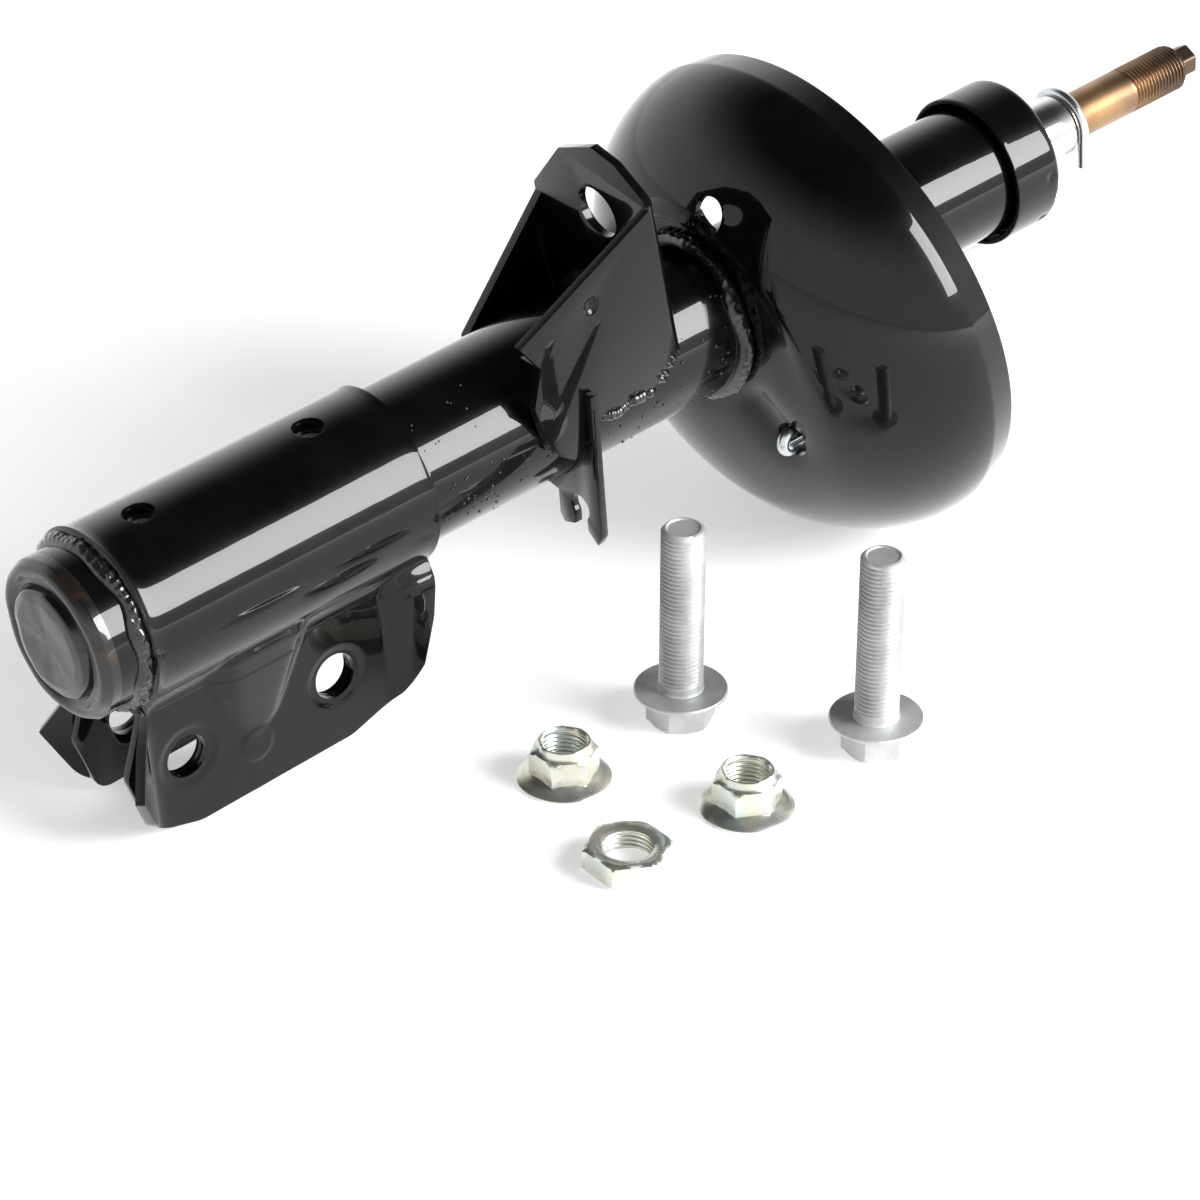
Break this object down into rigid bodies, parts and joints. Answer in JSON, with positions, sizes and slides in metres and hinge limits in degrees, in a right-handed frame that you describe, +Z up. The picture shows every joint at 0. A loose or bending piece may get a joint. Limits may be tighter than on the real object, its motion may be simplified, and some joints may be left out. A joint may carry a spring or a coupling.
{
  "type": "suspension strut",
  "caption": "Suspension strut with a knuckle bracket, stabiliser link bracket, hose tab, spring seat, bump stop cup and sliding rod, with its loose bolts and nuts.",
  "frame": {"origin": "centre of the lower knuckle bolt hole, midway between the ears", "axes": "+X runs lengthwise towards the rod tip and level with the floor, +Y along the knuckle bolts to the far side, +Z up; the strut lies on its spring seat and bracket tips, so its own axis climbs towards the rod by 5.09 degrees"},
  "size_m": [0.4758, 0.2174, 0.1683],
  "materials": {
    "gloss_black_paint": "gloss",
    "raw_steel": "drawn, oiled",
    "sintered_iron": "machined",
    "chrome_rod": "ground chrome, bronze tint on the thread end",
    "bearing_bronze": "lined bush",
    "seal_rubber": "oil seal",
    "band_plastic": "filled low-friction band",
    "zinc_matt": "matt zinc flake",
    "zinc_bright": "bright zinc plate",
    "wire_steel": "bright zinc wire"
  },
  "bodies": {
    "housing": {"body_tube": "gloss_black_paint", "end_cap": "gloss_black_paint", "knuckle_bracket": "gloss_black_paint", "inner_bracket": "gloss_black_paint", "sleeve_weld": "gloss_black_paint", "link_bracket": "gloss_black_paint", "hose_bracket": "gloss_black_paint", "spring_seat": "gloss_black_paint", "seat_weld": "gloss_black_paint", "bump_cup": "gloss_black_paint", "foot_valve": "sintered_iron", "pressure_tube": "raw_steel", "rod_guide": "sintered_iron", "guide_bush": "bearing_bronze", "rod_seal": "seal_rubber"},
    "rod": {"piston_rod": "chrome_rod", "piston": "sintered_iron", "piston_band": "band_plastic", "valve_discs": "raw_steel", "piston_nut": "raw_steel", "rebound_stop": "raw_steel", "retaining_wire": "wire_steel"},
    "bolts": {"knuckle_bolts": "zinc_matt"},
    "nuts": {"knuckle_nuts": "zinc_bright"},
    "thin_nut": {"rod_nut": "zinc_bright"}
  },
  "joints": [
    {"name": "rod_slide", "type": "slide", "parent": "housing", "child": "rod", "axis": [0.9961, 0, 0.0888], "range_m": [-0.02, 0.14]},
    {"name": "bolts_lift", "type": "slide", "parent": "housing", "child": "bolts", "axis": [0, 0, 1], "range_m": [0, 0.1]},
    {"name": "nuts_lift", "type": "slide", "parent": "housing", "child": "nuts", "axis": [0, 0, 1], "range_m": [0, 0.1]},
    {"name": "thin_nut_lift", "type": "slide", "parent": "housing", "child": "thin_nut", "axis": [0, 0, 1], "range_m": [0, 0.1]}
  ]
}
